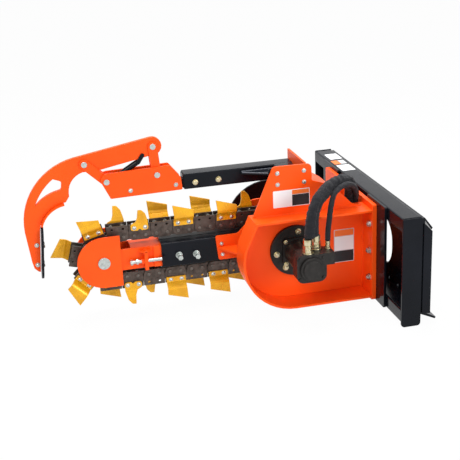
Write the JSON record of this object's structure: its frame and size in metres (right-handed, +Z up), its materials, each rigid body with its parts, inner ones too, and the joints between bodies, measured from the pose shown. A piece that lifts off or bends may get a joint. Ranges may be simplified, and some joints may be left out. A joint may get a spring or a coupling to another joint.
{
  "type": "trencher attachment",
  "caption": "Skid-steer chain trencher: digging chain on a boom, hydraulic drive head, spoil auger, hinged crumber arm and a rear attachment plate.",
  "frame": {"origin": "middle of the flat rear face that the carrier's attachment plate meets", "axes": "+X towards the carrier, out of the rear face; +Y to the far side, away from the motor; +Z up"},
  "size_m": [1.7248, 1.18, 0.8234],
  "materials": {
    "orange_paint": "gloss",
    "black_paint": "semi-gloss",
    "chain_steel": "dark, oiled",
    "zinc_steel": "zinc plated",
    "brass_fitting": "yellow zinc plated",
    "motor_casting": "painted, dark",
    "hose_sleeve": "woven sleeve over rubber"
  },
  "bodies": {
    "frame": {"boom_clamp_far": "orange_paint", "boom_clamp_near": "orange_paint", "boom_tube": "black_paint", "chain_drive_wrap": "chain_steel", "chain_lower_run": "chain_steel", "chain_nose_wrap": "chain_steel", "chain_rail_bottom": "zinc_steel", "chain_rail_top": "zinc_steel", "chain_upper_run": "chain_steel", "crumber_bridge": "black_paint", "crumber_tube": "black_paint", "drain_fitting": "brass_fitting", "drain_hose": "hose_sleeve", "head_back_plate": "orange_paint", "head_cross_plate": "orange_paint", "head_fin": "orange_paint", "head_motor_plate": "orange_paint", "head_post_far": "black_paint", "head_post_near": "black_paint", "head_rim": "orange_paint", "head_top_cover": "orange_paint", "hose_manifold": "black_paint", "motor_adapter_ring": "black_paint", "motor_body": "motor_casting", "motor_end_cover": "motor_casting", "mount_bottom_tube": "black_paint", "mount_end_plate_far": "black_paint", "mount_end_plate_near": "black_paint", "mount_top_tube": "black_paint", "pressure_hose": "hose_sleeve", "pressure_port_fitting": "brass_fitting", "quick_attach_plate": "black_paint", "return_hose": "hose_sleeve", "return_port_fitting": "brass_fitting", "shaft_bearing_far": "black_paint", "shaft_bearing_near": "black_paint", "tension_screw": "zinc_steel"},
    "tension": {"nose_yoke": "orange_paint", "nose_plate_near": "orange_paint", "nose_plate_far": "orange_paint", "nose_axle": "zinc_steel"},
    "idler": {"idler_wheel": "chain_steel"},
    "drive": {"drive_shaft": "zinc_steel", "drive_sprocket": "chain_steel", "spoil_auger": "black_paint"},
    "crumber_slide": {"crumber_slide_bar": "black_paint", "crumber_bracket_near": "orange_paint", "crumber_bracket_far": "orange_paint", "front_link_pin": "zinc_steel", "rear_link_pin": "zinc_steel", "strut_pin": "zinc_steel"},
    "rear_link": {"crumber_rear_link": "orange_paint"},
    "front_link": {"crumber_front_link": "orange_paint"},
    "arm": {"crumber_arm": "orange_paint", "crumber_rib": "orange_paint", "crumber_blade": "black_paint", "arm_rear_pin": "zinc_steel", "arm_front_pin": "zinc_steel"},
    "strut_tube": {"strut_tube": "black_paint"},
    "strut_rod": {"strut_rod": "black_paint"}
  },
  "joints": [
    {"name": "tension_slide", "type": "slide", "parent": "frame", "child": "tension", "axis": [1, 0, 0], "range_m": [0, 0.035]},
    {"name": "idler_spin", "type": "hinge", "parent": "tension", "child": "idler", "pos_m": [-1.3286, 0, 0.02], "axis": [0, 1, 0], "continuous": true},
    {"name": "drive_spin", "type": "hinge", "parent": "frame", "child": "drive", "pos_m": [-0.465, 0, 0.02], "axis": [0, 1, 0], "continuous": true},
    {"name": "crumber_extend", "type": "slide", "parent": "frame", "child": "crumber_slide", "axis": [-1, 0, 0], "range_m": [0, 0.1]},
    {"name": "rear_link_turn", "type": "hinge", "parent": "crumber_slide", "child": "rear_link", "pos_m": [-1.052, 0, 0.395], "axis": [0, 1, 0], "range_deg": [-4, 20]},
    {"name": "arm_turn", "type": "hinge", "parent": "rear_link", "child": "arm", "pos_m": [-1.062, 0, 0.525], "axis": [0, 1, 0], "range_deg": [-15, 4]},
    {"name": "front_link_turn", "type": "hinge", "parent": "crumber_slide", "child": "front_link", "pos_m": [-1.281, 0, 0.387], "axis": [0, 1, 0], "range_deg": [-6, 25]},
    {"name": "strut_turn", "type": "hinge", "parent": "crumber_slide", "child": "strut_tube", "pos_m": [-1.235, 0, 0.398], "axis": [0, 1, 0], "range_deg": [-2, 7]},
    {"name": "strut_slide", "type": "slide", "parent": "strut_tube", "child": "strut_rod", "axis": [0.8662, 0, 0.4997], "range_m": [-0.009, 0.04]}
  ],
  "couplings": [
    {"joint": "arm_turn", "follows": "rear_link_turn", "ratio": -0.69},
    {"joint": "front_link_turn", "follows": "rear_link_turn", "ratio": 1.16},
    {"joint": "strut_turn", "follows": "rear_link_turn", "ratio": 0.29},
    {"joint": "strut_slide", "follows": "rear_link_turn", "m_per_rad": 0.104}
  ]
}
